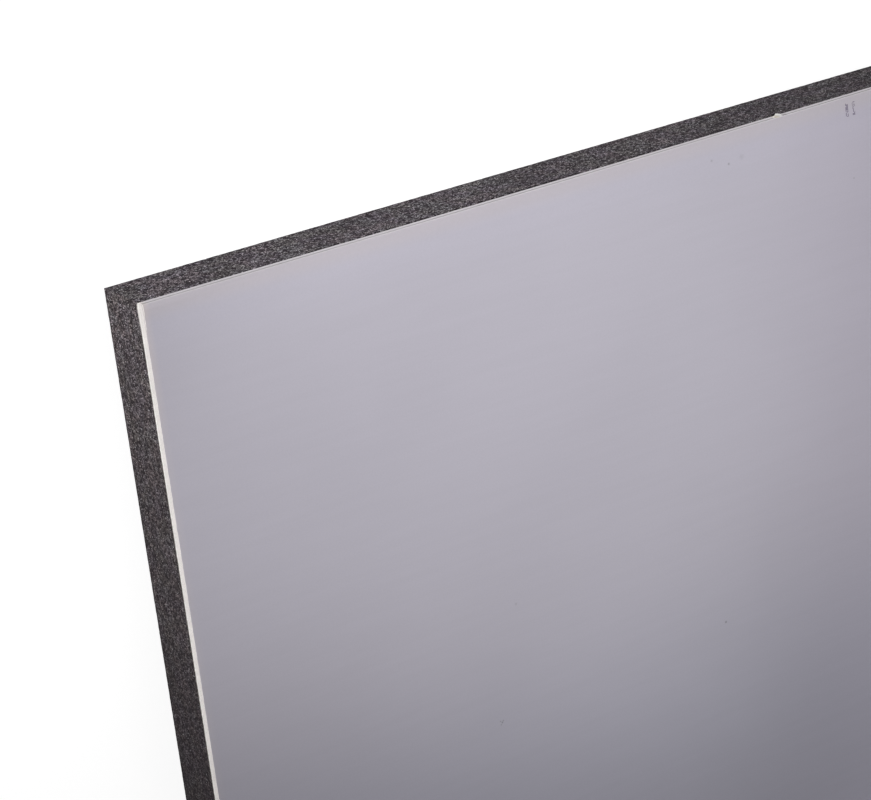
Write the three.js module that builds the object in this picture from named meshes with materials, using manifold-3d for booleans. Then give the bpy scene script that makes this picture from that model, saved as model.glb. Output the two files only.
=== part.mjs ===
// Insulated plasterboard sheet: a paper-faced gypsum board with tapered long edges,
// bonded to a slab of bead foam. Millimetres, +Z up. The sheet lies flat on its foam,
// with its length along X and its face upwards. The origin is the middle of the underside.
import * as THREE from "three";
import { mergeVertices } from "three/addons/utils/BufferGeometryUtils.js";
import Module from "manifold-3d";

const wasm = await Module();
wasm.setup();

// Sheet and foam
const sheetLength = 2500;
const foamWidth = 1200;
const foamThickness = 80;

// Board
const boardThickness = 12.5;
const boardSetback = 0.5; // each long edge of the board stands this far inside the foam's
const facePaper = 0.35;
const backPaper = 0.35;

// Tapered long edge
const taperWidth = 65;
const taperDepth = 1.4;
const shoulderRadius = 1.2; // from the side up onto the taper
const heelRadius = 1.2; // from the side round under the back
const creaseWidth = 1.2; // the fold line pressed into the paper on the side
const creaseDepth = 0.2;
const creaseDrop = 2.5; // from the shoulder down to the middle of the fold line
const arcSteps = 6;

// Papers under the board
const flapWidth = 30; // the face paper turned under each long edge
const backPaperInset = 6; // the back paper's edge stands this far inside the board's

// Torn spot on one long edge
const tearFromEnd = 895; // from the end at -X to the middle of the tear
const tearSize = new THREE.Vector3(14, 6, 8); // along, across and up
const tearDepth = 0.25; // the outer plies of the paper are gone, and the inner ply is left on the core
const tongueClearance = 0.3; // between the torn tongue's outside and the plane of the foam's side
const dentClearance = 0.6; // room round the tongue in the dented foam
// The tongue seen from the side: [along the sheet from the tear's middle, height above the foam]
const tongueOutline = [
  [-8.5, 4.5],
  [-2, 1.5],
  [-0.2, 0],
  [3.5, -3],
  [5.5, -5.5],
  [7.6, 0],
  [8, 4],
  [5, 6],
  [-4, 6.5],
];

const boardHalf = foamWidth / 2 - boardSetback;
const tearX = tearFromEnd - sheetLength / 2;

// The right half of the board's outline, taken `inset` inside its surface, from the end of the flap,
// round the edge, to the foot of the taper. Each point is (across the sheet, height above the foam).
function edgeOutline(inset, creased) {
  const points = [new THREE.Vector2(boardHalf - flapWidth, backPaper + inset)];
  const arc = (centre, radius, from, to) => {
    for (let i = 0; i <= arcSteps; i++) {
      const angle = from + ((to - from) * i) / arcSteps;
      points.push(
        new THREE.Vector2(
          centre.x + radius * Math.cos(angle),
          centre.y + radius * Math.sin(angle),
        ),
      );
    }
  };

  const heel = new THREE.Vector2(boardHalf - heelRadius, backPaper + heelRadius);
  arc(heel, heelRadius - inset, -Math.PI / 2, 0);

  // The shoulder's arc touches the side and the sloping face, whose outward normal leans by the slope.
  const slope = Math.atan(taperDepth / taperWidth);
  const foot = boardHalf - taperWidth;
  const shoulderX = boardHalf - shoulderRadius;
  const rise = (shoulderRadius + (shoulderX - foot) * Math.sin(slope)) / Math.cos(slope);
  const shoulder = new THREE.Vector2(shoulderX, boardThickness - rise);
  if (creased) {
    const crease = shoulder.y - creaseDrop;
    points.push(
      new THREE.Vector2(boardHalf, crease - creaseWidth / 2),
      new THREE.Vector2(boardHalf - creaseDepth, crease),
      new THREE.Vector2(boardHalf, crease + creaseWidth / 2),
    );
  }
  arc(shoulder, shoulderRadius - inset, 0, Math.PI / 2 - slope);

  points.push(new THREE.Vector2(foot - inset * Math.tan(slope / 2), boardThickness - inset));
  return points;
}

const mirrored = (points) => points.map((p) => new THREE.Vector2(-p.x, p.y)).reverse();

// A closed section, drawn across the sheet and upwards, drawn out along the sheet's length.
function alongSheet(points) {
  const geometry = new THREE.ExtrudeGeometry(new THREE.Shape(points), {
    depth: sheetLength,
    bevelEnabled: false,
  });
  geometry.translate(0, 0, -sheetLength / 2);
  return geometry.applyMatrix4(
    new THREE.Matrix4().makeBasis(
      new THREE.Vector3(0, 1, 0),
      new THREE.Vector3(0, 0, 1),
      new THREE.Vector3(1, 0, 0),
    ),
  );
}

function slabAlongSheet(halfWidth, thickness) {
  return alongSheet([
    new THREE.Vector2(-halfWidth, 0),
    new THREE.Vector2(halfWidth, 0),
    new THREE.Vector2(halfWidth, thickness),
    new THREE.Vector2(-halfWidth, thickness),
  ]);
}

// Booleans
function toSolid(geometry) {
  const bare = geometry.clone().deleteAttribute("normal").deleteAttribute("uv");
  const merged = mergeVertices(bare, 1e-4);
  return new wasm.Manifold(
    new wasm.Mesh({
      numProp: 3,
      vertProperties: merged.attributes.position.array,
      triVerts: new Uint32Array(merged.index.array),
    }),
  );
}

function toGeometry(solid) {
  const mesh = solid.getMesh();
  const geometry = new THREE.BufferGeometry();
  geometry.setAttribute("position", new THREE.BufferAttribute(mesh.vertProperties, 3));
  geometry.setIndex(new THREE.BufferAttribute(mesh.triVerts, 1));
  const flat = geometry.toNonIndexed();
  flat.computeVertexNormals();
  return flat;
}

// A rough bite: a coarse ball stretched to `size`, centred at `place`.
function bite(size, place) {
  const ball = new THREE.IcosahedronGeometry(0.5, 1);
  ball.scale(size.x, size.y, size.z);
  ball.translate(place.x, place.y, place.z);
  return toSolid(ball);
}

// Pieces

// The foam is dented where the tongue hangs: a ball round the hanging part's box, centred on the arris.
function foamGeometry() {
  const hanging = new THREE.Box2().setFromPoints(
    tongueOutline
      .filter(([, height]) => height <= 0)
      .map(([along, height]) => new THREE.Vector2(along, height)),
  );
  const reach = (hanging.max.x - hanging.min.x) / 2;
  const box = new THREE.Vector3(reach, boardSetback + tearDepth, -hanging.min.y);
  const roundTheBox = 2 * Math.sqrt(3);
  const dent = bite(
    box.addScalar(dentClearance).multiplyScalar(roundTheBox),
    new THREE.Vector3(tearX + hanging.min.x + reach, foamWidth / 2, foamThickness),
  );
  return toGeometry(toSolid(slabAlongSheet(foamWidth / 2, foamThickness)).subtract(dent));
}

function coreGeometry() {
  const right = edgeOutline(facePaper, false);
  const left = mirrored(right);
  const flapEnd = boardHalf - flapWidth;
  return alongSheet([
    new THREE.Vector2(-flapEnd, backPaper),
    new THREE.Vector2(flapEnd, backPaper),
    ...right,
    ...left,
  ]);
}

// The tongue of torn paper stays fixed to the board's side and hangs over the dent in the foam.
function tongueGeometry() {
  const leaf = tongueOutline.map(([along, height]) => new THREE.Vector2(tearX + along, height));
  const outside = foamWidth / 2 - tongueClearance;
  const inside = boardHalf - tearDepth;
  const geometry = new THREE.ExtrudeGeometry(new THREE.Shape(leaf), {
    depth: outside - inside,
    bevelEnabled: false,
  });
  geometry.rotateX(Math.PI / 2); // stands the leaf up, with its thickness towards -Y
  geometry.translate(0, outside, 0);
  return geometry;
}

function facePaperGeometry() {
  const outer = edgeOutline(0, true);
  const inner = edgeOutline(facePaper, false);
  const wrap = alongSheet([
    ...outer,
    ...mirrored(outer),
    ...mirrored(inner).reverse(),
    ...inner.reverse(),
  ]);
  const tearPlace = new THREE.Vector3(tearX, boardHalf, boardThickness - taperDepth);
  const innerPly = edgeOutline(tearDepth, false);
  const kept = toSolid(alongSheet([...innerPly, ...mirrored(innerPly)]));
  const torn = bite(tearSize, tearPlace).subtract(kept);
  return toGeometry(toSolid(wrap).subtract(torn).add(toSolid(tongueGeometry())));
}

function backPaperGeometry() {
  return slabAlongSheet(boardHalf - backPaperInset, backPaper);
}

// Materials
const foamGrey = new THREE.MeshStandardMaterial({ color: 0x504c4f, roughness: 0.9, metalness: 0 });
const gypsumWhite = new THREE.MeshStandardMaterial({ color: 0xe8e4e0, roughness: 0.95, metalness: 0 });
const liningGrey = new THREE.MeshStandardMaterial({ color: 0xb8b5bd, roughness: 0.85, metalness: 0 });
const backingBrown = new THREE.MeshStandardMaterial({ color: 0x8f8478, roughness: 0.9, metalness: 0 });

function piece(name, geometry, material) {
  const mesh = new THREE.Mesh(geometry, material);
  mesh.name = name;
  return mesh;
}

const board = new THREE.Group();
board.add(piece("gypsum_core", coreGeometry(), gypsumWhite));
board.add(piece("face_paper", facePaperGeometry(), liningGrey));
board.add(piece("back_paper", backPaperGeometry(), backingBrown));
board.position.z = foamThickness;

const sheet = new THREE.Group();
sheet.add(piece("foam_slab", foamGeometry(), foamGrey));
sheet.add(board);

export default sheet;
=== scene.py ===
"""Insulated plasterboard sheet: bead foam slab, gypsum core and the papers that wrap it, finished and lit."""
import math

import bpy
from bpy.props import FloatProperty, FloatVectorProperty, PointerProperty
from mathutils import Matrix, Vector


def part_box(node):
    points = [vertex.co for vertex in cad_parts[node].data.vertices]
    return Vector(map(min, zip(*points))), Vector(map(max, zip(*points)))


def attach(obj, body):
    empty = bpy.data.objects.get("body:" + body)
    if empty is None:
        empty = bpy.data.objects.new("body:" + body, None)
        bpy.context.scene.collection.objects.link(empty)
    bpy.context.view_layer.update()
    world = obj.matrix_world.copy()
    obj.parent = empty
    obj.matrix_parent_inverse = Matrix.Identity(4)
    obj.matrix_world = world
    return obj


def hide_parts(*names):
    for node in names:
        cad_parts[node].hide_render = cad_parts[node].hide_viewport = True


bl_info = {
    "name": "Insulated Plasterboard Sheet",
    "version": (1, 0, 0),
    "blender": (4, 5, 0),
    "location": "View3D > Sidebar > Sheet",
    "description": "Finishes a paper-faced gypsum board bonded to a slab of grey bead foam",
    "category": "Object",
}

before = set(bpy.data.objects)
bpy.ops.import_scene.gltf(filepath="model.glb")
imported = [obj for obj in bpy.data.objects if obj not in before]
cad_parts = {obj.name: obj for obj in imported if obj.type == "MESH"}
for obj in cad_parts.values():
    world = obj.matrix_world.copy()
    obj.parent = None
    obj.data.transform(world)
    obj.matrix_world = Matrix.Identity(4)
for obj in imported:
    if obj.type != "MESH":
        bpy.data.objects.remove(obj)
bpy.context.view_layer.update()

BODY = "root"
MM = 0.001
WELD = 0.01 * MM  # vertices nearer to each other than this count as one
FLUSH = 0.001 * MM  # a vertex nearer to a plane than this lies on it

foam_low, foam_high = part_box("foam_slab")
core_low, core_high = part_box("gypsum_core")
lining_low, lining_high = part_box("face_paper")

NEAR_END = foam_low.x  # the cut end by the corner that the camera looks at
FAR_END = foam_high.x
FOAM_TOP = foam_high.z
FACE = lining_high.z
BOARD_SIDE = -lining_low.y  # where the straight part of each long edge stands
TAPER_FOOT = BOARD_SIDE - 65 * MM
CREASE = FOAM_TOP + 7.4 * MM  # height of the fold line pressed into the paper on the sides
FLAP_TOP = FOAM_TOP + 1 * MM  # just over the flaps of the face paper under the board
TEAR = Vector((-0.355, BOARD_SIDE, FOAM_TOP))  # where the paper is torn on the long edge
BOW = 0.8 * MM  # how far the long edge with the torn spot is bowed in
BOW_START, BOW_END = -1.12, -0.36
FLARE = 0.25 * MM  # how far the near end of that edge turns out
FAR_FLARE = 0.44 * MM  # and how far it turns out beyond the torn spot
FAR_FLARE_START, FAR_FLARE_TOP, FAR_FLARE_END = -0.33, -0.20, 0.30
TONGUE = Vector((TEAR.x + 4 * MM, foam_high.y, FOAM_TOP - 1.2 * MM))  # middle of the tongue where it hangs
PLUCKED = Vector((TEAR.x - 0.6 * MM, foam_high.y, FOAM_TOP - 1.5 * MM))  # the gap beside the tongue
END_BAND = 12 * MM  # the stretch of the lining by each cut end that is fine enough to fray


# Sizes and colours


class FoamSlabSettings(bpy.types.PropertyGroup):
    """Sizes and colours of the bead foam"""

    bead_size: FloatProperty(
        name="Bead size", description="Width of one bead", unit="LENGTH", default=2.4 * MM, min=1 * MM
    )
    relief: FloatProperty(
        name="Bead relief", description="Depth of the grooves between beads",
        unit="LENGTH", default=0.35 * MM,
    )
    pit_depth: FloatProperty(
        name="Pit depth", description="Depth left where a bead has come away",
        unit="LENGTH", default=0.8 * MM,
    )
    colour: FloatVectorProperty(
        name="Bead colour", description="Mean colour of a cut bead",
        subtype="COLOR", default=(0.0942, 0.0832, 0.0913),
    )
    other_colour: FloatVectorProperty(
        name="Other bead colour", description="Mean colour where the graphite takes a greener cast",
        subtype="COLOR", default=(0.0910, 0.0873, 0.0888),
    )
    sheen_colour: FloatVectorProperty(
        name="Sheen colour",
        description="Faint violet that the graphite adds to light and dark beads alike",
        subtype="COLOR", default=(0.0045, 0.0, 0.0033),
    )
    void_colour: FloatVectorProperty(
        name="Gap colour", description="Colour down between beads",
        subtype="COLOR", default=(0.0115, 0.0090, 0.0110),
    )
    glint_colour: FloatVectorProperty(
        name="Glint colour", description="Colour of a shiny bead skin",
        subtype="COLOR", default=(0.47, 0.45, 0.47),
    )
    dust_colour: FloatVectorProperty(
        name="Dust colour", description="Colour of the plaster dust by the corners",
        subtype="COLOR", default=(0.7, 0.66, 0.64),
    )
    contrast: FloatProperty(
        name="Contrast", description="How strongly the greys of the beads differ", default=2.2, min=0.0
    )
    end_contrast: FloatProperty(
        name="End contrast", description="How strongly the greys differ on the ends", default=1.83, min=0.0
    )
    # painted light: a warmer cast is painted on the cut ends, standing in for warmer light falling on them
    end_painted_warmth: FloatVectorProperty(
        name="End tint",
        description="What the ends' colour is multiplied by, where the cut is older and browner",
        subtype="COLOR", default=(1.035, 0.995, 0.965),
    )
    # painted shading: the cut ends are painted lighter by the long edges
    end_painted_shading: FloatProperty(
        name="End tone", description="How light the ends are at the long edges", default=1.19, min=0
    )
    # painted shade: the cut ends are painted darker towards the middle of the width, where less light falls
    middle_painted_shading: FloatProperty(
        name="Middle tone",
        description="How light the ends are at the middle of the slab's width, where the block is denser",
        default=0.365, min=0,
    )
    # painted shade: the sides are painted darker with distance from the near end
    far_painted_shade: FloatProperty(
        name="Far tone", description="How light the sides are a metre from the near end",
        default=0.85, min=0,
    )
    # painted shade: the foam is painted darker along its arrises, at its foot on the floor and under the
    # board
    rim_painted_shade: FloatProperty(
        name="Rim tone", description="How much darker the hot wire leaves the arrises",
        default=0.6, min=0, max=1,
    )


class GypsumCoreSettings(bpy.types.PropertyGroup):
    """Sizes and colours of the gypsum core"""

    crumble: FloatProperty(
        name="Crumble", description="How far the cut ends are worn back in places",
        unit="LENGTH", default=0.6 * MM,
    )
    colour: FloatVectorProperty(
        name="Gypsum colour", description="Colour of clean gypsum",
        subtype="COLOR", default=(0.766, 0.726, 0.706),
    )
    dense_colour: FloatVectorProperty(
        name="Dense layer colour", description="Colour of the dense layer against the back paper",
        subtype="COLOR", default=(0.90, 0.88, 0.855),
    )
    dense_layer: FloatProperty(
        name="Dense layer", description="Thickness of the dense layer", unit="LENGTH", default=2.0 * MM
    )
    # painted light: the gypsum ends are painted whiter towards the middle of the width
    middle_painted_shading: FloatProperty(
        name="Middle tone", description="How much whiter the ends are at the middle of the width",
        default=1.15,
    )
    fuzz_colour: FloatVectorProperty(
        name="Fuzz colour",
        description="Colour of the back paper's fuzz where the saw dragged it over the gypsum",
        subtype="COLOR", default=(0.12, 0.10, 0.09),
    )
    pore_colour: FloatVectorProperty(
        name="Pore colour", description="Colour inside the air bubbles",
        subtype="COLOR", default=(0.50, 0.46, 0.43),
    )


class FaceLiningSettings(bpy.types.PropertyGroup):
    """Sizes and colours of the face lining"""

    fray: FloatProperty(
        name="Fray", description="How far the cut ends of the paper are torn back",
        unit="LENGTH", default=0.5 * MM,
    )
    corner_wear: FloatProperty(
        name="Corner wear", description="How far the paper is rubbed back at the corners",
        unit="LENGTH", default=1.75 * MM,
    )
    colour: FloatVectorProperty(
        name="Lining colour", description="Colour of the face paper",
        subtype="COLOR", default=(0.50, 0.478, 0.543),
    )
    edge_colour: FloatVectorProperty(
        name="Edge colour", description="Colour of the paper over the tapered edges",
        subtype="COLOR", default=(0.52, 0.485, 0.53),
    )
    # painted light: the far colour stands in for cooler light on the far part of the face
    far_colour: FloatVectorProperty(
        name="Far colour",
        description="Colour of the face paper beyond the torn spot, a little more violet",
        subtype="COLOR", default=(0.503, 0.468, 0.549),
    )
    # painted light: the paper round the sides has its own copy of the colour, which painted light makes
    # lighter along the sheet and by the near end
    side_painted_colour: FloatVectorProperty(
        name="Side colour",
        description="Colour of the paper round the sides at the near end, where they are dustiest",
        subtype="COLOR", default=(0.484, 0.456, 0.480),
    )
    side_painted_gain: FloatProperty(
        name="Side gain", description="How much lighter the sides are a metre along from the near end",
        default=1.48,
    )
    torn_colour: FloatVectorProperty(
        name="Torn colour", description="Colour of the inner plies where the paper is torn",
        subtype="COLOR", default=(0.69, 0.64, 0.56),
    )
    inner_colour: FloatVectorProperty(
        name="Inner ply colour", description="Colour of the inner plies where they are clean",
        subtype="COLOR", default=(0.77, 0.75, 0.765),
    )
    dust_colour: FloatVectorProperty(
        name="Dust colour", description="Colour of the flaps' cut ends under plaster dust",
        subtype="COLOR", default=(0.78, 0.74, 0.72),
    )
    ply_colour: FloatVectorProperty(
        name="Ply edge colour", description="Colour of the torn ply's edge",
        subtype="COLOR", default=(0.97, 0.95, 0.92),
    )
    ink_colour: FloatVectorProperty(
        name="Ink colour", description="Colour of the sprayed ink dots",
        subtype="COLOR", default=(0.13, 0.10, 0.17),
    )


class BackLiningSettings(bpy.types.PropertyGroup):
    """Colours of the back lining"""

    colour: FloatVectorProperty(
        name="Backing colour", description="Colour of the back paper",
        subtype="COLOR", default=(0.42, 0.39, 0.36),
    )
    dust_colour: FloatVectorProperty(
        name="Dust colour", description="Colour of its cut ends by the corners, under plaster dust",
        subtype="COLOR", default=(0.78, 0.74, 0.72),
    )


class StageSettings(bpy.types.PropertyGroup):
    """Camera, floor and lamps"""

    lens: FloatProperty(
        name="Lens", description="Focal length on a 36 mm sensor, in millimetres", default=120.136, min=1
    )
    floor_size: FloatProperty(
        name="Floor size", description="Side of the floor", unit="LENGTH", default=60.0
    )
    corner_lamp: FloatProperty(
        name="Corner lamp", description="Power of the low soft box off the near corner",
        unit="POWER", default=28.9,
    )
    face_lamp: FloatProperty(
        name="Face lamp", description="Power of the soft box above the face", unit="POWER", default=2.85
    )
    edge_lamp: FloatProperty(
        name="Edge lamp", description="Power of the soft box off the long edge", unit="POWER", default=2.86
    )
    top_lamp: FloatProperty(
        name="Top lamp", description="Power of the soft box over the middle of the sheet",
        unit="POWER", default=3.26,
    )
    far_face_lamp: FloatProperty(
        name="Far face lamp", description="Power of the soft box over the far half of the face",
        unit="POWER", default=4.19,
    )
    far_end_lamp: FloatProperty(
        name="Far end lamp", description="Power of the soft box off the far end", unit="POWER", default=26.0
    )
    far_edge_lamp: FloatProperty(
        name="Far edge lamp", description="Power of the soft box off the far long edge",
        unit="POWER", default=24.0,
    )
    far_half_lamp: FloatProperty(
        name="Far half lamp", description="Power of the gridded soft box over the far half of the face",
        unit="POWER", default=1.79,
    )
    far_strip_lamp: FloatProperty(
        name="Far strip lamp",
        description="Power of the gridded soft box over the far long edge near the end",
        unit="POWER", default=0.35,
    )
    ambient: FloatProperty(
        name="Ambient", description="Strength of the even light from all round", default=0.1245
    )
    floor_tone: FloatProperty(
        name="Floor tone", description="How much of the light that reaches the floor comes back up",
        default=0.8,
    )
    floor_glow: FloatProperty(
        name="Floor glow", description="How white the floor shows before any lamp reaches it", default=0.88
    )


# Selecting and shaping


def leave_nothing_selected():
    """Goes to object mode with nothing selected."""
    if bpy.context.object and bpy.context.object.mode != "OBJECT":
        bpy.ops.object.mode_set(mode="OBJECT")
    bpy.ops.object.select_all(action="DESELECT")


def pick(piece):
    """Makes the piece the only thing selected, and active."""
    leave_nothing_selected()
    piece.select_set(True)
    bpy.context.view_layer.objects.active = piece


def edit(piece, mode="FACE"):
    """Opens the piece in edit mode with nothing selected in it."""
    pick(piece)
    bpy.ops.object.mode_set(mode="EDIT")
    bpy.ops.mesh.select_mode(type=mode)
    bpy.ops.mesh.select_all(action="DESELECT")


def select_where(piece, kind, test):
    """In edit mode, selects the vertices, edges or faces that the test says yes to."""
    bpy.ops.mesh.select_all(action="DESELECT")
    bpy.ops.object.mode_set(mode="OBJECT")
    parts = getattr(piece.data, kind)
    parts.foreach_set("select", [bool(test(part)) for part in parts])
    bpy.ops.object.mode_set(mode="EDIT")


def cut_through(point, normal=(1, 0, 0)):
    """In edit mode, cuts all that isn't hidden along a plane."""
    bpy.ops.mesh.select_all(action="SELECT")
    bpy.ops.mesh.bisect(plane_co=point, plane_no=normal)


def runs_across(piece, line, length, depth):
    """Whether an edge no deeper than that into a cut end runs across the sheet for more than a length."""
    start, end = (piece.data.vertices[i].co for i in line.vertices)
    by_the_end = min(abs(start.x), abs(end.x)) > FAR_END - depth
    return by_the_end and abs(start.x - end.x) < FLUSH and abs(start.y - end.y) > length


def copy_of_node(node, name):
    """A copy of a CAD node as a new piece, with its loose triangles merged into flat faces."""
    piece = bpy.data.objects.new(name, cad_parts[node].data.copy())
    piece.data.name = name
    piece.data.materials.clear()
    bpy.context.scene.collection.objects.link(piece)
    edit(piece)
    bpy.ops.mesh.select_all(action="SELECT")
    bpy.ops.mesh.customdata_custom_splitnormals_clear()
    bpy.ops.mesh.remove_doubles(threshold=0.002 * MM)
    bpy.ops.mesh.dissolve_limited(angle_limit=math.radians(0.3))
    bpy.ops.object.mode_set(mode="OBJECT")
    return piece


def vertex_group(piece, name, weigh):
    """Gives the piece a group holding every vertex whose weight is above nothing."""
    group = piece.vertex_groups.new(name=name)
    for vertex in piece.data.vertices:
        weight = weigh(vertex.co)
        if weight > 0:
            group.add([vertex.index], min(weight, 1.0), "REPLACE")
    return group.name


def relief_texture(name, kind, size, **settings):
    """A noise pattern of a given grain for the Displace modifier."""
    texture = bpy.data.textures.new(name, kind)
    texture.noise_scale = size
    texture.use_clamp = True
    for key, value in settings.items():
        setattr(texture, key, value)
    return texture


def displace(piece, texture, depth, direction="NORMAL", group="", mid_level=0.0):
    """Moves the piece's vertices by the pattern, or all alike without one."""
    pick(piece)
    bpy.ops.object.modifier_add(type="DISPLACE")
    modifier = piece.modifiers[-1]
    if texture:
        modifier.texture = texture
        modifier.texture_coords = "LOCAL"
    modifier.direction = direction
    modifier.strength = depth
    modifier.mid_level = mid_level
    modifier.vertex_group = group
    bpy.ops.object.modifier_apply(modifier=modifier.name)


def smooth(piece, angle):
    """Shades the piece smooth but for its arrises, which turn by more than an angle in degrees."""
    pick(piece)
    bpy.ops.object.shade_smooth_by_angle(angle=math.radians(angle))


def bow_long_edge(piece):
    """Makes one long edge of a layer of the board wavy: bowed in, and turned out on both sides of the bow."""
    shoulder = BOARD_SIDE - 1.25 * MM  # the rounded shoulder lies beyond this
    rows = 10
    moves = [(NEAR_END, FLARE), (BOW_START, 0.0)]
    for row in range(1, rows):
        moves.append((BOW_START + (BOW_END - BOW_START) * row / rows, -BOW * math.sin(math.pi * row / rows)))
    moves += [(FAR_FLARE_START, 0.0), (FAR_FLARE_TOP, FAR_FLARE), (FAR_FLARE_END, 0.0)]
    edit(piece)
    for cut, _ in moves[1:]:
        cut_through((cut, 0, 0))
    bpy.ops.mesh.select_mode(type="VERT")
    for cut, outwards in moves:
        select_where(piece, "vertices", lambda point: abs(point.co.x - cut) < WELD and point.co.y > shoulder)
        bpy.ops.transform.translate(value=(0, outwards, 0))
    bpy.ops.object.mode_set(mode="OBJECT")


def split_cut_ends(piece):
    """Splits the many-sided faces of the cut ends into triangles while they are still flat."""
    edit(piece)
    select_where(piece, "polygons", lambda face: abs(face.normal.x) > 0.9 and len(face.vertices) > 4)
    bpy.ops.mesh.quads_convert_to_tris(quad_method="BEAUTY", ngon_method="BEAUTY")
    bpy.ops.object.mode_set(mode="OBJECT")


def finish_piece(piece, material, node):
    """Gives a piece its finish and its place in the object, in the stead of a CAD node."""
    piece.data.materials.clear()
    piece.data.materials.append(material)
    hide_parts(node)
    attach(piece, BODY)
    leave_nothing_selected()


# Finishes


class NodeBench:
    """Lays out the nodes of a finish or of the world."""

    def __init__(self, owner):
        owner.use_nodes = True
        self.nodes = owner.node_tree.nodes
        self.links = owner.node_tree.links
        self.nodes.clear()

    def add(self, kind, settings=None, **inputs):
        """Adds a node. Inputs are named by socket, with spaces as underscores, or numbered as at_0."""
        node = self.nodes.new(kind)
        for key, value in (settings or {}).items():
            setattr(node, key, value)
        for key, value in inputs.items():
            socket = node.inputs[int(key[3:]) if key.startswith("at_") else key.replace("_", " ")]
            if isinstance(value, bpy.types.NodeSocket):
                self.links.new(value, socket)
            elif socket.type == "RGBA" and len(value) == 3:
                socket.default_value = (*value, 1.0)
            else:
                socket.default_value = value
        return node

    def maths(self, operation, first, second=0.0, third=0.0):
        settings = {"operation": operation}
        return self.add("ShaderNodeMath", settings, at_0=first, at_1=second, at_2=third).outputs[0]


class FinishBench(NodeBench):
    """Lays out the nodes of one finish."""

    def __init__(self, name):
        self.material = bpy.data.materials.new(name)
        super().__init__(self.material)
        self.place = self.add("ShaderNodeTexCoord").outputs["Object"]

    def vector(self, operation, first, second=(0.0, 0.0, 0.0)):
        node = self.add("ShaderNodeVectorMath", {"operation": operation}, at_0=first, at_1=second)
        return node.outputs["Value" if operation in ("DISTANCE", "LENGTH", "DOT_PRODUCT") else "Vector"]

    def step(self, value, low, high, start=0.0, end=1.0):
        """Runs smoothly from start to end while the value runs from low to high."""
        smoothly = {"interpolation_type": "SMOOTHSTEP"}
        return self.ramp(value, low, high, start, end, smoothly)

    def ramp(self, value, low, high, start, end, settings=None):
        """Runs evenly from start to end while the value runs from low to high."""
        limits = {"From_Min": low, "From_Max": high, "To_Min": start, "To_Max": end}
        return self.add("ShaderNodeMapRange", settings, Value=value, **limits).outputs["Result"]

    def mix(self, factor, first, second):
        """Mixes two numbers."""
        settings = {"data_type": "FLOAT"}
        return self.add("ShaderNodeMix", settings, at_0=factor, at_2=first, at_3=second).outputs[0]

    def product(self, first, *others):
        """All the numbers multiplied together."""
        for other in others:
            first = self.maths("MULTIPLY", first, other)
        return first

    def draws(self, cell):
        """Three even random numbers for each cell."""
        return self.add("ShaderNodeSeparateColor", Color=cell["Color"]).outputs

    def wander(self, size, reach):
        """The place on the piece, pushed about a little so that cells lose their straight sides."""
        push = self.add("ShaderNodeTexNoise", Vector=self.place, Scale=1 / size, Detail=1.0).outputs["Color"]
        push = self.vector("SUBTRACT", push, (0.5, 0.5, 0.5))
        push = self.add("ShaderNodeVectorMath", {"operation": "SCALE"}, at_0=push, Scale=2 * reach).outputs[0]
        return self.vector("ADD", self.place, push)

    def noise(self, size, detail=2.0, roughness=0.5, place=None):
        """Soft noise whose features are about that size, from 0 to 1."""
        grain = {"Scale": 1 / size, "Detail": detail, "Roughness": roughness}
        return self.add("ShaderNodeTexNoise", Vector=place or self.place, **grain).outputs["Fac"]

    def cells(self, size, feature="F1", place=None):
        """Cells about that size."""
        settings = {"feature": feature}
        return self.add("ShaderNodeTexVoronoi", settings, Vector=place or self.place, Scale=1 / size).outputs

    def blend(self, factor, first, second):
        """Mixes two colours."""
        settings = {"data_type": "RGBA"}
        return self.add("ShaderNodeMix", settings, at_0=factor, at_6=first, at_7=second).outputs[2]

    def shade(self, colour, amount):
        """A colour made lighter or darker by a number."""
        grey = self.add("ShaderNodeCombineXYZ", X=amount, Y=amount, Z=amount).outputs[0]
        return self.vector("MULTIPLY", colour, grey)

    def tint(self, colour, share, cast):
        """A colour with a cast laid over it, as strongly as the share says."""
        return self.vector("MULTIPLY", colour, self.blend(share, (1.0, 1.0, 1.0), cast))

    def axes(self):
        """The three coordinates on the piece."""
        return self.add("ShaderNodeSeparateXYZ", at_0=self.place).outputs

    def outwards(self):
        """How far out from the sheet's middle a place is, along the sheet and across it."""
        x, y, _ = self.axes()
        return self.maths("ABSOLUTE", x), self.maths("ABSOLUTE", y)

    def distance(self, point, stretch):
        """How far a place is from a point, each axis counting as much as its stretch says."""
        way = self.vector("SUBTRACT", self.place, point)
        return self.vector("LENGTH", self.vector("MULTIPLY", way, stretch))

    def bump(self, height, depth, strength=1.0):
        return self.add("ShaderNodeBump", Height=height, Distance=depth, Strength=strength).outputs["Normal"]

    def surface(self, colour, roughness, normal, specular):
        """Ends the finish in one shader."""
        shader = self.add("ShaderNodeBsdfPrincipled", Base_Color=colour, Roughness=roughness, Normal=normal)
        shader.inputs["Specular IOR Level"].default_value = specular
        self.add("ShaderNodeOutputMaterial", Surface=shader.outputs[0])
        return self.material


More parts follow.
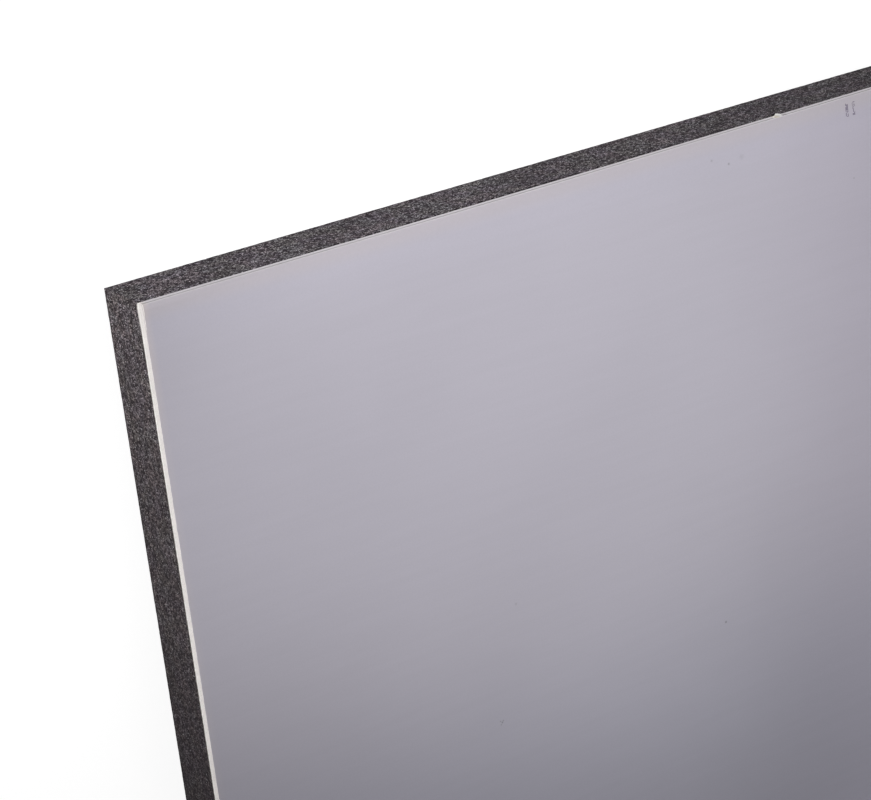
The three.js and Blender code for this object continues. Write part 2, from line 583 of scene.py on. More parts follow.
def cut_beads(bench, settings, beads_at, rim, on_end, end_painted_shading):
    """The greys of the cut beads: darker in the seams, with painted shade by the arrises, towards the middle
    of the ends and along the sides away from the near end.
    """
    x, _, z = bench.axes()
    draw = bench.draws(bench.cells(settings.bead_size, place=beads_at))
    greys = bench.product(
        bench.step(draw[0], 0.0, 1.0, 0.4, 1.7),
        bench.step(rim, 0.0, 0.16, 0.3, 1.0),
        bench.step(bench.noise(1.0 * MM, 2.0, 0.6), 0.25, 0.75, 0.5, 1.5),
        bench.step(bench.noise(8 * MM, 2.0), 0.25, 0.75, 0.82, 1.18),
        bench.step(bench.noise(90 * MM, 2.0), 0.25, 0.75, 0.92, 1.08),
    )
    greys = bench.maths("POWER", greys, bench.mix(on_end, settings.contrast, settings.end_contrast))

    # painted shade along the sides, darker away from the near end
    side_painted_shade = bench.ramp(x, NEAR_END, NEAR_END + 1.0, 1.0, settings.far_painted_shade)
    # painted shade along the foot of the foam and, in broken patches, along its top under the board
    low_painted_shade = bench.step(z, 0.8 * MM, 3 * MM, settings.rim_painted_shade, 1.0)
    high_painted_shade = bench.step(z, FOAM_TOP - 2.6 * MM, FOAM_TOP - 0.6 * MM)
    high_painted_shade = bench.product(high_painted_shade, bench.step(bench.noise(7 * MM, 1.0), 0.5, 0.62))
    high_painted_shade = bench.step(high_painted_shade, 0.0, 1.0, 1.0, settings.rim_painted_shade)
    tone = bench.product(greys, bench.mix(on_end, side_painted_shade, end_painted_shading), low_painted_shade, high_painted_shade)

    cast = bench.step(bench.noise(28 * MM, 1.0), 0.42, 0.6)
    cast = bench.mix(on_end, cast, bench.ramp(cast, 0.0, 1.0, 0.18, 0.82))
    colour = bench.shade(bench.blend(cast, settings.colour, settings.other_colour), tone)
    warmth = bench.step(bench.noise(19 * MM, 1.0), 0.42, 0.58)
    warmth = bench.blend(warmth, (0.985, 1.0, 1.03), (1.015, 1.0, 0.97))
    sheen = bench.shade(settings.sheen_colour, bench.step(on_end, 0.0, 1.0, 1.0, 0.6))
    colour = bench.vector("ADD", bench.vector("MULTIPLY", colour, warmth), sheen)
    # painted warm light on the cut ends
    return bench.tint(colour, on_end, settings.end_painted_warmth)


def gaps_between_beads(bench, beads_at, on_end):
    """1 in the dark gaps between beads, and in the painted shade of the gap beside the torn tongue, where the
    foam is plucked out.
    """
    x, y, _ = bench.axes()
    gap = bench.cells(5.4 * MM, place=beads_at)
    draw = bench.draws(gap)[0]
    side_size = bench.ramp(x, NEAR_END, NEAR_END + 1.0, 1.0, 1.08)
    size = bench.step(draw, 0.42, 1.0, 0.12, 0.45)
    size = bench.product(size, bench.mix(on_end, side_size, 0.92))
    hole = bench.step(bench.maths("SUBTRACT", gap["Distance"], size), -0.1, 0.03, 1.0, 0.0)
    hole = bench.product(hole, bench.step(draw, 0.42, 0.47))
    # painted shade down in the gap beside the tongue
    plucked = bench.step(bench.distance(PLUCKED, (1.0, 0.0, 1.0)), 6.5 * MM, 7.5 * MM, 1.0, 0.0)
    deep = bench.step(y, foam_high.y - 1.0 * MM, foam_high.y - 0.6 * MM, 1.0, 0.0)
    return bench.maths("MAXIMUM", hole, bench.product(plucked, deep))


def graphite_foam_finish(settings):
    """Cut beads in many greys, with dark gaps between them and a few shiny skins."""
    bench = FinishBench("graphite_bead_foam")
    out_x, out_y = bench.outwards()
    on_end = bench.step(out_x, FAR_END - 2 * MM, FAR_END - 0.5 * MM)
    # painted shading on the ends: darker towards the middle of the width, lighter by the long edges
    end_painted_shading = bench.ramp(out_y, 0.0, foam_high.y, settings.middle_painted_shading, settings.end_painted_shading)
    beads_at = bench.wander(4 * MM, 1.2 * MM)
    rim = bench.cells(settings.bead_size, "DISTANCE_TO_EDGE", beads_at)["Distance"]
    colour = cut_beads(bench, settings, beads_at, rim, on_end, end_painted_shading)
    hole = gaps_between_beads(bench, beads_at, on_end)
    colour = bench.blend(hole, colour, settings.void_colour)

    skin = bench.cells(2.4 * MM, place=beads_at)
    draw = bench.draws(skin)
    glint = bench.step(skin["Distance"], 0.22, 0.44, 1.0, 0.0)
    glint = bench.product(glint, bench.step(draw[1], 0.87, 0.92), bench.step(draw[2], 0.0, 1.0, 0.3, 1.0))
    shine = bench.shade(settings.glint_colour, bench.mix(on_end, 1.0, end_painted_shading))
    colour = bench.blend(glint, colour, shine)

    height = bench.maths("ADD", bench.axes()[2], bench.product(bench.noise(3 * MM), 2 * MM))
    dust = bench.product(
        on_end,
        bench.step(out_y, foam_high.y - 34 * MM, foam_high.y - 14 * MM),
        bench.step(out_y, foam_high.y - 4 * MM, foam_high.y - 1 * MM, 1.0, 0.2),
        bench.step(height, FOAM_TOP - 1.6 * MM, FOAM_TOP - 0.2 * MM),
    )
    colour = bench.blend(dust, colour, settings.dust_colour)

    relief = bench.maths("SUBTRACT", bench.step(rim, 0.0, 0.35), bench.product(hole, 1.6))
    roughness = bench.step(glint, 0.0, 1.0, 0.8, 0.4)
    return bench.surface(colour, roughness, bench.bump(relief, 0.5 * MM, 0.6), 0.12)


def gypsum_finish(settings):
    """Chalky white plaster with air bubbles, denser and whiter against the back paper."""
    bench = FinishBench("cut_gypsum")
    z = bench.axes()[2]
    out_x, out_y = bench.outwards()
    height = bench.maths("ADD", z, bench.product(bench.noise(4 * MM, 2.0), 1 * MM))
    layer = settings.dense_layer
    dense = bench.step(height, core_low.z + layer, core_low.z + 1.6 * layer, 1.0, 0.0)
    colour = bench.blend(dense, settings.colour, settings.dense_colour)
    tone = bench.product(
        bench.step(bench.noise(30 * MM, 3.0), 0.3, 0.7, 0.97, 1.03),
        bench.step(bench.noise(1.2 * MM, 3.0, 0.6), 0.25, 0.75, 0.93, 1.05),
        # painted light, whiter towards the middle of the width
        bench.ramp(out_y, 150 * MM, 570 * MM, settings.middle_painted_shading, 0.98),
        # painted light: the gypsum is painted lighter everywhere but on the cut end face, so on the strip
        # bared on top
        bench.step(out_x, FAR_END - 0.9 * MM, FAR_END - 0.6 * MM, 1.32, 1.0),  # where the paper is rubbed off
    )
    colour = bench.shade(colour, tone)
    fuzz = bench.step(z, core_low.z + 0.2 * MM, core_low.z + 0.7 * MM, 1.0, 0.0)
    fuzz = bench.product(fuzz, bench.step(out_y, 0.30, 0.42, 1.0, 0.0))
    colour = bench.blend(fuzz, colour, settings.fuzz_colour)
    bubble = bench.cells(1.7 * MM)
    pore = bench.step(bench.draws(bubble)[0], 0.72, 0.8)
    pore = bench.product(pore, bench.step(bubble["Distance"], 0.2, 0.34, 1.0, 0.0))
    colour = bench.blend(bench.product(pore, 0.5), colour, settings.pore_colour)
    relief = bench.maths("SUBTRACT", bench.noise(0.9 * MM, 3.0, 0.65), bench.product(pore, 0.8))
    return bench.surface(colour, 0.92, bench.bump(relief, 0.35 * MM, 0.7), 0.2)


# Marks on the face. Each is (x, y, radius in mm, how much darker its middle is).
FACE_SPOTS = (
    (-0.8594, -0.0485, 1.5, 0.32),  # a small cross-shaped scuff
    (-0.8570, -0.0508, 1.9, 0.40),
    (-0.8553, -0.0489, 1.6, 0.32),
    (-0.8588, -0.0534, 1.7, 0.22),
    (-0.5057, -0.0359, 2.4, 0.42),
    (-0.8180, 0.0958, 2.6, 0.16),
    (-0.4662, 0.5701, 2.6, 0.24),
    (-0.4407, 0.5600, 2.4, 0.36),
    (-0.4200, 0.5639, 5.5, 0.09),
    (-0.2458, 0.4936, 1.5, 0.30),
)
INK_COLUMNS = (-0.2491, -0.2380)  # where the two columns of sprayed dots stand along the sheet
INK_LOW, INK_HIGH = 0.5743, 0.5916  # across the sheet
INK_PITCH = 1.5 * MM
INK_WIDTH = 4.4 * MM


def ink_dots(bench):
    """1 on the sprayed dots, which stand in two short columns across the tapered edge."""
    x, y, _ = bench.axes()
    flat = bench.vector("MULTIPLY", bench.place, (1.0, 1.0, 0.0))
    cell = bench.add("ShaderNodeTexVoronoi", Vector=flat, Scale=1 / INK_PITCH, Randomness=0.0).outputs
    dot = bench.step(cell["Distance"], 0.35, 0.75, 1.0, 0.0)
    ways = [bench.maths("ABSOLUTE", bench.maths("SUBTRACT", x, column)) for column in INK_COLUMNS]
    inside = [
        bench.maths("LESS_THAN", bench.maths("MINIMUM", *ways), INK_WIDTH / 2),
        bench.maths("GREATER_THAN", y, INK_LOW),
        bench.maths("LESS_THAN", y, INK_HIGH),
    ]
    return bench.product(dot, bench.step(bench.draws(cell)[0], 0.33, 0.43), *inside)


def place_across(bench):
    """How far out across the sheet the paper lies, as if its wavy long edge were straight."""
    x, y, _ = bench.axes()
    bow = bench.maths("SINE", bench.ramp(x, BOW_START, BOW_END, 0.0, math.pi))
    inwards = bench.maths("MULTIPLY_ADD", bow, BOW, bench.ramp(x, NEAR_END, BOW_START, -FLARE, 0.0))
    far_flare = bench.ramp(x, FAR_FLARE_START, FAR_FLARE_TOP, 0.0, FAR_FLARE)
    far_flare = bench.product(far_flare, bench.ramp(x, FAR_FLARE_TOP, FAR_FLARE_END, 1.0, 0.0))
    inwards = bench.maths("SUBTRACT", inwards, far_flare)
    inwards = bench.product(inwards, bench.maths("GREATER_THAN", y, 0.0))
    return bench.maths("ADD", bench.maths("ABSOLUTE", y), inwards)


def paper_colour(bench, settings, across, on_side):
    """The lilac-grey of the paper: warmer over the tapered edges, dusty by the cut ends, painted lighter on
    the sides and by the near corner, and painted cooler towards the far end and the middle of the width.
    """
    x, y, _ = bench.axes()
    out_x, out_y = bench.outwards()
    # painted light: the paper turns more violet towards the far end, standing in for cooler light there
    colour = bench.blend(bench.step(x, -0.55, 0.05), settings.colour, settings.far_colour)
    taper = bench.step(across, TAPER_FOOT - 25 * MM, BOARD_SIDE - 25 * MM)
    colour = bench.tint(colour, taper, (1.01, 1.012, 1.02))
    # painted light: bluer towards the middle of the width, standing in for cooler light there
    colour = bench.tint(colour, bench.step(y, -0.2, 0.12, 1.0, 0.0), (0.98, 1.0, 1.022))
    rim = bench.step(across, BOARD_SIDE - 26 * MM, BOARD_SIDE - 6 * MM)
    colour = bench.blend(rim, colour, settings.edge_colour)
    # painted light on the sides: lighter along the sheet and by the near end
    side_painted_light = bench.product(
        bench.ramp(x, NEAR_END, NEAR_END + 1.0, 1.0, settings.side_painted_gain),
        bench.step(x, -0.6, -0.3, 1.0, 1.05),
        bench.step(x, NEAR_END, NEAR_END + 0.14, 1.13, 1.0),
    )
    colour = bench.blend(on_side, colour, bench.shade(settings.side_painted_colour, side_painted_light))
    # painted light: the paper by the long edge is painted lighter near the near end
    near_corner_painted_light = bench.step(across, BOARD_SIDE - 9 * MM, BOARD_SIDE - 3 * MM)
    near_corner_painted_light = bench.product(near_corner_painted_light, bench.step(x, NEAR_END, NEAR_END + 0.11, 0.08, 0.0))
    colour = bench.shade(colour, bench.maths("ADD", 1.0, near_corner_painted_light))
    powder = bench.ramp(out_x, FAR_END - 10 * MM, FAR_END - 2 * MM, 0.0, 1.0)
    powder = bench.product(powder, bench.step(out_y, 0.40, 0.56, 0.4, 1.0))
    return bench.tint(colour, powder, (1.12, 1.08, 1.01))


def crease_painted_shade(bench, on_side, lengthwise):
    """How much darker the painted shade in and above the fold line makes the sides."""
    x, _, z = bench.axes()
    return bench.product(
        bench.step(z, CREASE - 1.0 * MM, CREASE),
        bench.step(z, CREASE + 2.4 * MM, CREASE + 3.2 * MM, 1.0, 0.0),
        bench.step(bench.noise(14 * MM, 3.0, 0.6, lengthwise), 0.35, 0.6, 0.75, 1.0),
        on_side,
        bench.step(x, NEAR_END, NEAR_END + 0.14, 0.54, 0.44),
        bench.step(x, -0.6, -0.3, 1.0, 1.12),
    )


def torn_plies(bench, settings, colour, across):
    """Lays the bared plies, the torn ply's pale edge and a painted shadow at the root of the tongue over the
    colour.
    """
    x, _, z = bench.axes()
    along = bench.maths("SUBTRACT", x, TEAR.x)
    above = bench.maths("SUBTRACT", z, TEAR.z)
    outside = bench.step(across, BOARD_SIDE + 0.05 * MM, BOARD_SIDE + 0.15 * MM)
    tongue = bench.maths("MAXIMUM", outside, bench.step(above, -0.2 * MM, 0.2 * MM, 1.0, 0.0))
    from_tear = bench.distance(TEAR + Vector((-1 * MM, 0, 5.5 * MM)), (1.0, 6.0, 1.0))
    from_tear = bench.maths("ADD", from_tear, bench.product(bench.noise(3 * MM), 4 * MM))
    bared = bench.step(from_tear, 7.5 * MM, 10 * MM, 1.0, 0.0)
    clean = bench.step(along, -2.5 * MM, 4 * MM)
    plies = bench.blend(clean, settings.torn_colour, settings.inner_colour)
    colour = bench.blend(bench.maths("MAXIMUM", tongue, bared), colour, plies)
    lip = bench.maths("SUBTRACT", along, bench.product(above, 0.65))
    lip = bench.step(lip, -0.6 * MM, 0.4 * MM)
    # a second pale ply shows as a slanting streak by the tongue's root
    from_streak = bench.vector("SUBTRACT", bench.place, TEAR + Vector((-6 * MM, 0, 5.6 * MM)))
    long_way = bench.vector("DOT_PRODUCT", from_streak, (-0.19, 0.0, 0.23))
    short_way = bench.vector("DOT_PRODUCT", from_streak, (0.77, 0.0, 0.635))
    streak = bench.maths("MULTIPLY_ADD", long_way, long_way, bench.product(short_way, short_way))
    streak = bench.step(bench.maths("SQRT", streak), 0.9 * MM, 1.5 * MM, 0.8, 0.0)
    streak = bench.product(streak, bench.step(across, BOARD_SIDE - 0.5 * MM, BOARD_SIDE - 0.3 * MM))
    ply = bench.maths("MAXIMUM", bench.product(tongue, lip), streak)
    colour = bench.blend(ply, colour, settings.ply_colour)
    # painted shadow cast by the curled paper at the tongue's root
    from_root = bench.distance(TEAR + Vector((10 * MM, 0, 6 * MM)), (0.75, 1.0, 0.6))
    return bench.shade(colour, bench.step(from_root, 1.5 * MM, 3.5 * MM, 0.74, 1.0))


def face_lining_finish(settings):
    """Smooth lilac-grey board paper, warmer over the tapered edges, with cream plies where it is torn."""
    bench = FinishBench("face_paper_lining")
    z = bench.axes()[2]
    across = place_across(bench)
    on_side = bench.step(across, BOARD_SIDE - 1.0 * MM, BOARD_SIDE - 0.4 * MM)
    lengthwise = bench.add("ShaderNodeMapping", Vector=bench.place, Scale=(0.06, 1.0, 1.0)).outputs[0]
    tone = bench.product(
        bench.step(bench.noise(260 * MM, 3.0), 0.3, 0.7, 0.985, 1.015),
        bench.step(bench.noise(2.2 * MM, 3.0, 0.65), 0.2, 0.8, 0.975, 1.025),
        bench.step(bench.noise(9 * MM, 2.0, 0.6, lengthwise), 0.3, 0.7, 0.992, 1.008),
        bench.maths("SUBTRACT", 1.0, crease_painted_shade(bench, on_side, lengthwise)),
    )
    colour = bench.shade(paper_colour(bench, settings, across, on_side), tone)
    for spot_x, spot_y, radius, darkness in FACE_SPOTS:
        far = bench.vector("DISTANCE", bench.place, (spot_x, spot_y, FACE))
        mark = bench.step(far, 0.2 * radius * MM, radius * MM, 1.0 - darkness, 1.0)
        colour = bench.shade(colour, mark)
    colour = bench.blend(bench.product(ink_dots(bench), 0.85), colour, settings.ink_colour)
    colour = torn_plies(bench, settings, colour, across)
    dusty = bench.step(bench.outwards()[0], FAR_END - 1.0 * MM, FAR_END - 0.5 * MM)
    dusty = bench.product(dusty, bench.maths("LESS_THAN", z, FLAP_TOP))
    colour = bench.blend(dusty, colour, settings.dust_colour)
    fibre = bench.noise(0.5 * MM, 3.0, 0.7, lengthwise)
    return bench.surface(colour, 0.75, bench.bump(fibre, 0.03 * MM, 0.5), 0.3)


def back_lining_finish(settings):
    """Brown-grey recycled paper, dusty by the corners."""
    bench = FinishBench("back_paper_lining")
    fleck = bench.step(bench.noise(1.5 * MM, 3.0, 0.65), 0.2, 0.8, 0.85, 1.15)
    colour = bench.shade(settings.colour, fleck)
    dusty = bench.step(bench.outwards()[1], foam_high.y - 60 * MM, foam_high.y - 25 * MM, 0.0, 0.8)
    colour = bench.blend(dusty, colour, settings.dust_colour)
    return bench.surface(colour, 0.9, bench.bump(bench.noise(0.6 * MM, 2.0), 0.05 * MM, 0.6), 0.2)


# Pieces


GRID_CELL = 2.75 * MM  # side of the squares that carry the relief of the beads
# Dents round the tear. Each is (middle, how many times as long as wide, depth of one press in the foam,
# how far from its middle each press reaches in mm).
DENTS = (
    (TONGUE, 1.0, 0.4 * MM, (6.0, 5.5, 5.0)),
    (PLUCKED, 3.2, 0.7 * MM, (1.7, 1.4, 1.1)),
)


class SHEET_OT_foam_slab(bpy.types.Operator):
    """Makes the foam slab with beads standing out on its four sides"""

    bl_idname = "sheet.foam_slab"
    bl_label = "Foam Slab"

    def add_side(self, middle, turn, size):
        """One side of the slab as a fine grid that faces outwards."""
        leave_nothing_selected()
        along, up = (round(length / GRID_CELL) for length in size)
        bpy.ops.mesh.primitive_grid_add(
            x_subdivisions=along, y_subdivisions=up, size=1, location=middle, rotation=turn
        )
        side = bpy.context.object
        side.scale = (*size, 1)
        bpy.ops.object.transform_apply(location=True, rotation=True, scale=True)
        return side

    @staticmethod
    def is_inside_the_rims(co):
        """1 away from the slab's arrises, and 0 on them."""
        rim = 4 * MM
        off_the_corners = FAR_END - abs(co.x) > rim or foam_high.y - abs(co.y) > rim
        return float(rim < co.z < FOAM_TOP - rim and off_the_corners)

    @staticmethod
    def dent_at_tear(slab):
        """Pushes the foam in behind the torn tongue, and opens the slanting gap beside it."""
        edit(slab)
        select_where(slab, "polygons", lambda face: (face.center - TONGUE).length < 20 * MM)
        bpy.ops.mesh.subdivide(number_cuts=3)
        bpy.ops.mesh.select_mode(type="VERT")

        slant_x, slant_z = 0.62, -0.79  # which way the gap beside the tongue runs

        def is_within(middle, reach, stretch, co):
            way = co - middle
            down_the_gap = slant_x * way.x + slant_z * way.z
            across_it = slant_x * way.z - slant_z * way.x
            return co.y > foam_high.y - 8 * MM and math.hypot(down_the_gap / stretch, across_it) < reach * MM

        for middle, stretch, depth, reaches in DENTS:
            for reach in reaches:
                select_where(slab, "vertices", lambda point: is_within(middle, reach, stretch, point.co))
                bpy.ops.transform.translate(value=(0, -depth, 0))
        bpy.ops.object.mode_set(mode="OBJECT")

    def execute(self, context):
        settings = context.scene.foam_slab_settings
        length, width, height = foam_high - foam_low
        middle = height / 2
        quarter = math.pi / 2
        sides = [
            self.add_side((0, foam_high.y, middle), (-quarter, 0, 0), (length, height)),
            self.add_side((0, foam_low.y, middle), (quarter, 0, 0), (length, height)),
            self.add_side((foam_high.x, 0, middle), (0, quarter, 0), (height, width)),
            self.add_side((foam_low.x, 0, middle), (0, -quarter, 0), (height, width)),
        ]
        leave_nothing_selected()
        for side in sides:
            side.select_set(True)
        context.view_layer.objects.active = sides[0]
        bpy.ops.object.join()
        slab = context.object
        slab.name = slab.data.name = "bead_foam_slab"
        edit(slab, "VERT")
        bpy.ops.mesh.select_all(action="SELECT")
        bpy.ops.mesh.remove_doubles(threshold=WELD)
        bpy.ops.object.mode_set(mode="OBJECT")

        inside = vertex_group(slab, "inside_the_rims", self.is_inside_the_rims)
        beads = relief_texture("beads", "VORONOI", 1.5 * settings.bead_size)
        displace(slab, beads, -settings.relief)
        plucked = relief_texture("plucked_beads", "CLOUDS", 5 * MM, contrast=5.0, intensity=0.3)
        displace(slab, plucked, -settings.pit_depth, group=inside)
        self.dent_at_tear(slab)

        edit(slab, "VERT")
        bpy.ops.mesh.select_non_manifold()
        bpy.ops.mesh.fill_holes(sides=0)
        bpy.ops.mesh.select_all(action="SELECT")
        bpy.ops.mesh.normals_make_consistent(inside=False)
        bpy.ops.object.mode_set(mode="OBJECT")
        smooth(slab, 50)
        finish_piece(slab, graphite_foam_finish(settings), "foam_slab")
        return {"FINISHED"}


class SHEET_OT_gypsum_core(bpy.types.Operator):
    """Makes the gypsum core with crumbled, porous cut ends"""

    bl_idname = "sheet.gypsum_core"
    bl_label = "Gypsum Core"

    def execute(self, context):
        settings = context.scene.gypsum_core_settings
        core = copy_of_node("gypsum_core", "cast_gypsum_core")
        bow_long_edge(core)
        edit(core)
        select_where(core, "polygons", lambda face: abs(face.normal.x) > 0.9)
        bpy.ops.mesh.hide(unselected=True)
        layers = 8
        columns = 12
        for i in range(1, layers):
            cut_through((0, 0, core_low.z + (core_high.z - core_low.z) * i / layers), (0, 0, 1))
        for i in range(columns + 1):
            cut_through((0, TAPER_FOOT * (2 * i / columns - 1), 0), (0, 1, 0))
        bpy.ops.mesh.reveal(select=False)
        bpy.ops.mesh.select_mode(type="EDGE")
        select_where(core, "edges", lambda line: runs_across(core, line, 20 * MM, FLUSH))
        bpy.ops.mesh.subdivide(number_cuts=50)
        split_cut_ends(core)
        crumbs = relief_texture("crumbs", "CLOUDS", 3 * MM, contrast=1.6)
        for sign in (-1, 1):
            group = vertex_group(core, "cut_end", lambda co: float(co.x * sign > FAR_END - FLUSH))
            displace(core, crumbs, -sign * settings.crumble, "X", group)
        smooth(core, 35)
        finish_piece(core, gypsum_finish(settings), "gypsum_core")
        return {"FINISHED"}


class SHEET_OT_face_lining(bpy.types.Operator):
    """Makes the face lining with frayed cut ends and its torn spot"""

    bl_idname = "sheet.face_lining"
    bl_label = "Face Lining"

    def execute(self, context):
        settings = context.scene.face_lining_settings
        lining = copy_of_node("face_paper", "wrapped_face_lining")
        bow_long_edge(lining)
        edit(lining)
        # narrow bands keep the fraying and the torn spot from bending the shading of the long faces
        cuts = [sign * (FAR_END - depth) for sign in (-1, 1) for depth in (7 * MM, 11 * MM)]
        cuts += [TEAR.x + reach for reach in (-20 * MM, -12 * MM, 12 * MM, 20 * MM)]
        for cut in cuts:
            cut_through((cut, 0, 0))
        bpy.ops.mesh.select_mode(type="EDGE")
        for length, number in ((20 * MM, 60), (8 * MM, 6)):
            select_where(lining, "edges", lambda line: runs_across(lining, line, length, END_BAND))
            bpy.ops.mesh.subdivide(number_cuts=number)
        split_cut_ends(lining)
        fray = relief_texture("fray", "CLOUDS", 4 * MM, contrast=1.8)
        for sign in (-1, 1):
            group = vertex_group(lining, "cut_edge", lambda co: self.fray_share(co) if co.x * sign > 0 else 0)
            displace(lining, fray, -sign * settings.fray, "X", group, mid_level=-0.1)
            group = vertex_group(lining, "worn_corner", lambda co: self.wear(co) if co.x * sign > 0 else 0)
            displace(lining, None, -sign * settings.corner_wear, "X", group)
        smooth(lining, 25)
        bpy.ops.object.modifier_add(type="WEIGHTED_NORMAL")
        lining.modifiers[-1].keep_sharp = True
        bpy.ops.object.modifier_apply(modifier=lining.modifiers[-1].name)
        finish_piece(lining, face_lining_finish(settings), "face_paper")
        return {"FINISHED"}

    @staticmethod
    def fray_share(co):
        """How much the cut edge is frayed: least in the middle of the width."""
        if FAR_END - abs(co.x) > FLUSH or co.z < FLAP_TOP:
            return 0
        return min(1, 0.2 + abs(co.y) / (450 * MM))

    @staticmethod
    def wear(co):
        """How much the paper is rubbed back by a corner: most about 6 mm from the side, and less on it."""
        if FAR_END - abs(co.x) > 3 * MM or co.z < FLAP_TOP:
            return 0
        inwards = (BOARD_SIDE - abs(co.y)) / MM
        return max(0, min(0.85 + inwards / 20, 1.12 - inwards / 50, (38 - inwards) / 17))


class SHEET_OT_back_lining(bpy.types.Operator):
    """Gives the back lining its finish"""

    bl_idname = "sheet.back_lining"
    bl_label = "Back Lining"

    def execute(self, context):
        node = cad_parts["back_paper"]
        node.data.materials.clear()
        node.data.materials.append(back_lining_finish(context.scene.back_lining_settings))
        return {"FINISHED"}


# Soft boxes turned towards a point on the sheet. Each is (name, place, that point, side of the box).
SOFT_BOXES = (
    ("corner", (-3.054, 1.216, 0.3), (1.0, 0.59, FACE), 0.313),
    ("face", (-0.825, 0.569, 0.388), (-0.819, 0.583, FACE), 1.201),
    ("edge", (-0.896, 1.143, 0.487), (-0.005, 0.598, FACE), 1.006),
    ("top", (0.274, -0.038, 0.92), (1.0, 0.473, FACE), 1.292),
    ("far_face", (1.361, 0.6, 1.298), (0.841, -0.036, FACE), 0.95),
    ("far_end", (3.6, 0, 0.7), (FAR_END, 0, FACE), 1.4),
    ("far_edge", (0, -3, 0.7), (0, foam_low.y, FACE), 1.6),
)
# Level soft boxes with a grid that keeps their light off the rest of the face.
# Each is (name, place, size, how wide the grid lets light spread, in degrees).
GRIDDED_BOXES = (
    ("far_half", (0.8, -0.051, 0.685), (1.6, 1.5), 63),
    ("far_strip", (-0.8, -0.68, 0.468), (1.1, 0.4), 51),
)
CAMERA_PLACE = (-2.52936, 1.54082, 2.84427)
CAMERA_TURN = (-15.7805, -32.8077, -7.7478)  # degrees


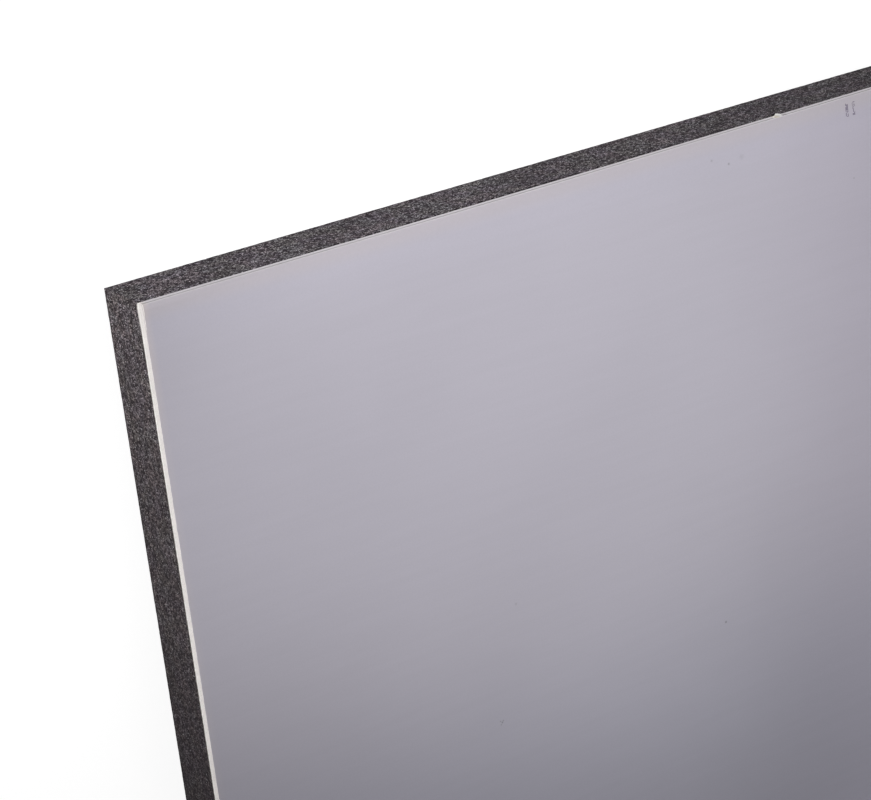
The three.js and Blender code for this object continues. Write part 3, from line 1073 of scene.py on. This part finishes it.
class SHEET_OT_stage(bpy.types.Operator):
    """Sets the floor, the soft boxes, the even light and the camera"""

    bl_idname = "sheet.stage"
    bl_label = "Stage"

    def seen_directly(self, bench):
        """1 for a ray from the camera or a mirror or glass, and 0 for light on its way."""
        path = bench.add("ShaderNodeLightPath").outputs
        mirrored = bench.maths("MAXIMUM", path["Is Glossy Ray"], path["Is Transmission Ray"])
        return bench.maths("MAXIMUM", path["Is Camera Ray"], mirrored)

    def add_floor(self, settings):
        leave_nothing_selected()
        bpy.ops.mesh.primitive_plane_add(size=settings.floor_size, location=(0, 0, -0.2 * MM))
        floor = bpy.context.object
        floor.name = floor.data.name = "studio_floor"
        bpy.ops.object.transform_apply(location=True, rotation=True, scale=True)
        bench = FinishBench("studio_floor")
        lit = bench.add("ShaderNodeBsdfDiffuse", Color=(settings.floor_tone,) * 3).outputs[0]
        faint = bench.add("ShaderNodeBsdfDiffuse", Color=(0.3, 0.3, 0.3)).outputs[0]
        glow = bench.add("ShaderNodeEmission", Color=(1, 1, 1), Strength=settings.floor_glow).outputs[0]
        white = bench.add("ShaderNodeAddShader", at_0=faint, at_1=glow).outputs[0]
        seen = self.seen_directly(bench)
        mixed = bench.add("ShaderNodeMixShader", at_0=seen, at_1=lit, at_2=white).outputs[0]
        bench.add("ShaderNodeOutputMaterial", Surface=mixed)
        floor.data.materials.append(bench.material)

    def add_soft_box(self, settings, name, place, turn, size):
        """A soft box that the camera doesn't see, as strong as the setting of its name says."""
        leave_nothing_selected()
        bpy.ops.object.light_add(type="AREA", location=place, rotation=turn)
        box = bpy.context.object
        box.name = box.data.name = name + "_soft_box"
        box.data.shape = "RECTANGLE"
        box.data.size, box.data.size_y = size
        box.data.energy = getattr(settings, name + "_lamp")
        box.visible_camera = False
        return box

    def add_even_light(self, settings):
        world = bpy.data.worlds.new("studio_light")
        bpy.context.scene.world = world
        bench = NodeBench(world)
        ambient = bench.add("ShaderNodeBackground", Color=(0.97, 0.98, 1.0), Strength=settings.ambient)
        white = bench.add("ShaderNodeBackground", Color=(1.0, 1.0, 1.0), Strength=1.0)
        seen = self.seen_directly(bench)
        mixed = bench.add("ShaderNodeMixShader", at_0=seen, at_1=ambient.outputs[0], at_2=white.outputs[0])
        bench.add("ShaderNodeOutputWorld", Surface=mixed.outputs[0])

    def add_camera(self, settings):
        leave_nothing_selected()
        turn = tuple(math.radians(angle) for angle in CAMERA_TURN)
        bpy.ops.object.camera_add(location=CAMERA_PLACE, rotation=turn)
        camera = bpy.context.object
        camera.name = camera.data.name = "corner_view"
        camera.data.sensor_fit = "HORIZONTAL"
        camera.data.sensor_width = 36
        camera.data.lens = settings.lens
        camera.data.clip_end = 100
        bpy.context.scene.camera = camera

    def execute(self, context):
        settings = context.scene.stage_settings
        self.add_floor(settings)
        for name, place, target, side in SOFT_BOXES:
            turn = (Vector(target) - Vector(place)).to_track_quat("-Z", "Y").to_euler()
            self.add_soft_box(settings, name, place, turn, (side, side))
        for name, place, size, spread in GRIDDED_BOXES:
            box = self.add_soft_box(settings, name, place, (0, 0, 0), size)
            box.data.spread = math.radians(spread)
        self.add_even_light(settings)
        self.add_camera(settings)
        context.scene.view_settings.view_transform = "Standard"
        return {"FINISHED"}


class SHEET_PT_sheet(bpy.types.Panel):
    """Lists the pieces of the sheet and its stage"""

    bl_idname = "SHEET_PT_sheet"
    bl_label = "Insulated Plasterboard Sheet"
    bl_space_type = "VIEW_3D"
    bl_region_type = "UI"
    bl_category = "Sheet"

    def draw(self, context):
        for operator, group, name in PIECES:
            box = self.layout.box()
            box.operator(operator.bl_idname)
            for setting in group.__annotations__:
                box.prop(getattr(context.scene, name), setting)


PIECES = (
    (SHEET_OT_foam_slab, FoamSlabSettings, "foam_slab_settings"),
    (SHEET_OT_gypsum_core, GypsumCoreSettings, "gypsum_core_settings"),
    (SHEET_OT_face_lining, FaceLiningSettings, "face_lining_settings"),
    (SHEET_OT_back_lining, BackLiningSettings, "back_lining_settings"),
    (SHEET_OT_stage, StageSettings, "stage_settings"),
)


def register():
    for operator, group, name in PIECES:
        bpy.utils.register_class(group)
        setattr(bpy.types.Scene, name, PointerProperty(type=group))
        bpy.utils.register_class(operator)
    bpy.utils.register_class(SHEET_PT_sheet)


def unregister():
    bpy.utils.unregister_class(SHEET_PT_sheet)
    for operator, group, name in reversed(PIECES):
        bpy.utils.unregister_class(operator)
        delattr(bpy.types.Scene, name)
        bpy.utils.unregister_class(group)


def main():
    register()
    bpy.ops.sheet.foam_slab()
    bpy.ops.sheet.gypsum_core()
    bpy.ops.sheet.face_lining()
    bpy.ops.sheet.back_lining()
    bpy.ops.sheet.stage()


if __name__ == "__main__":
    main()
